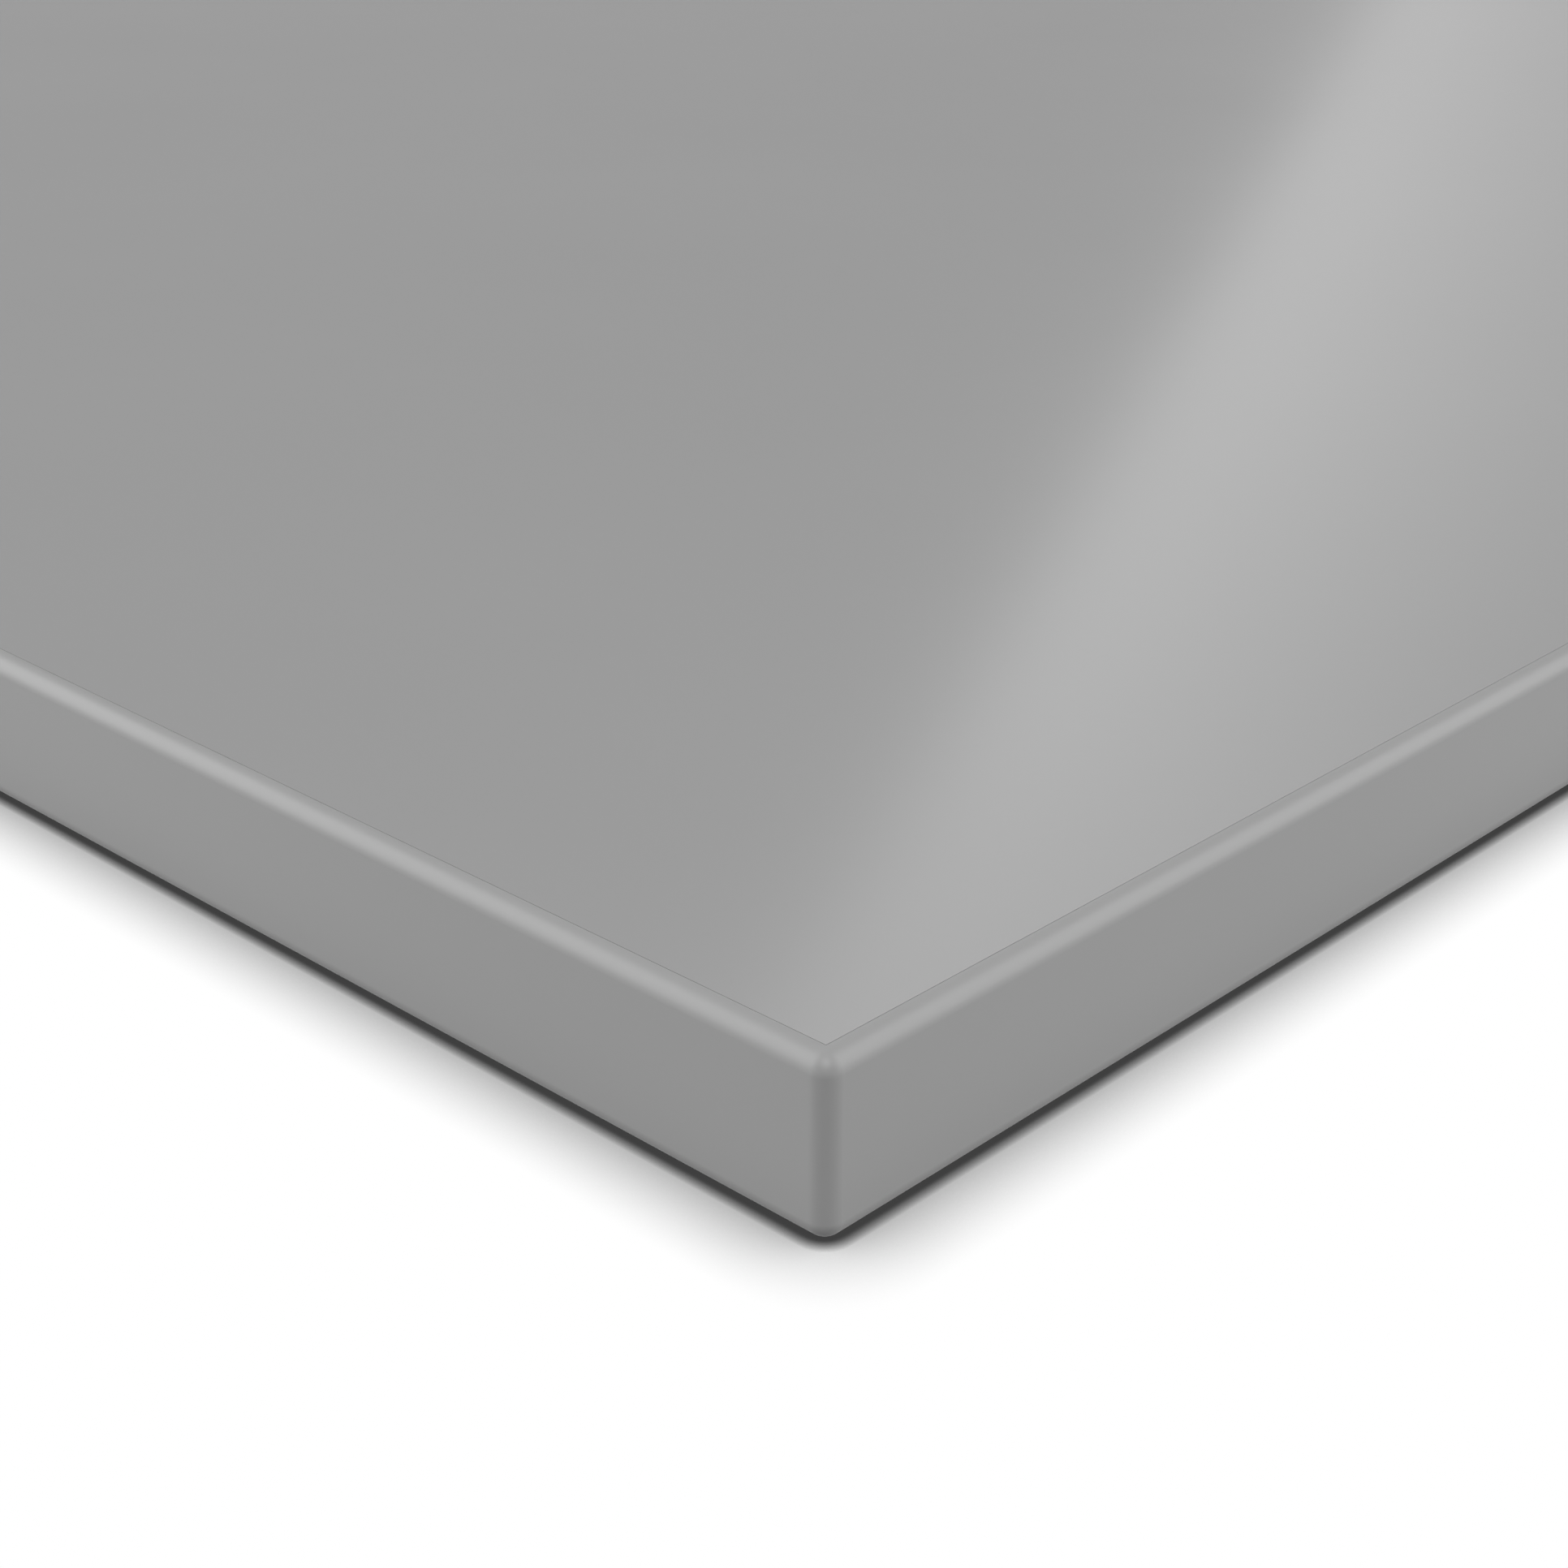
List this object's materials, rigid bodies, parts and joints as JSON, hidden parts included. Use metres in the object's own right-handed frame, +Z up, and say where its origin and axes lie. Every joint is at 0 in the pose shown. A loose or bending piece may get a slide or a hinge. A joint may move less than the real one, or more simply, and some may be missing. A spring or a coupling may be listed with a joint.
{
  "type": "melamine shelf board",
  "caption": "Flat rectangular shelf board of grey melamine-faced chipboard, edged all round with colour-matched plastic strips that have rounded arrises.",
  "frame": {"origin": "middle of the underside", "axes": "+X along the board's length, +Y across its width towards the back edging, +Z up through its thickness"},
  "size_m": [0.8, 0.6, 0.018],
  "materials": {
    "melamine_faced_board": "satin",
    "plastic_edging": "satin"
  },
  "bodies": {
    "root": {"panel": "melamine_faced_board", "front_edging": "plastic_edging", "back_edging": "plastic_edging", "left_edging": "plastic_edging", "right_edging": "plastic_edging"}
  },
  "joints": []
}
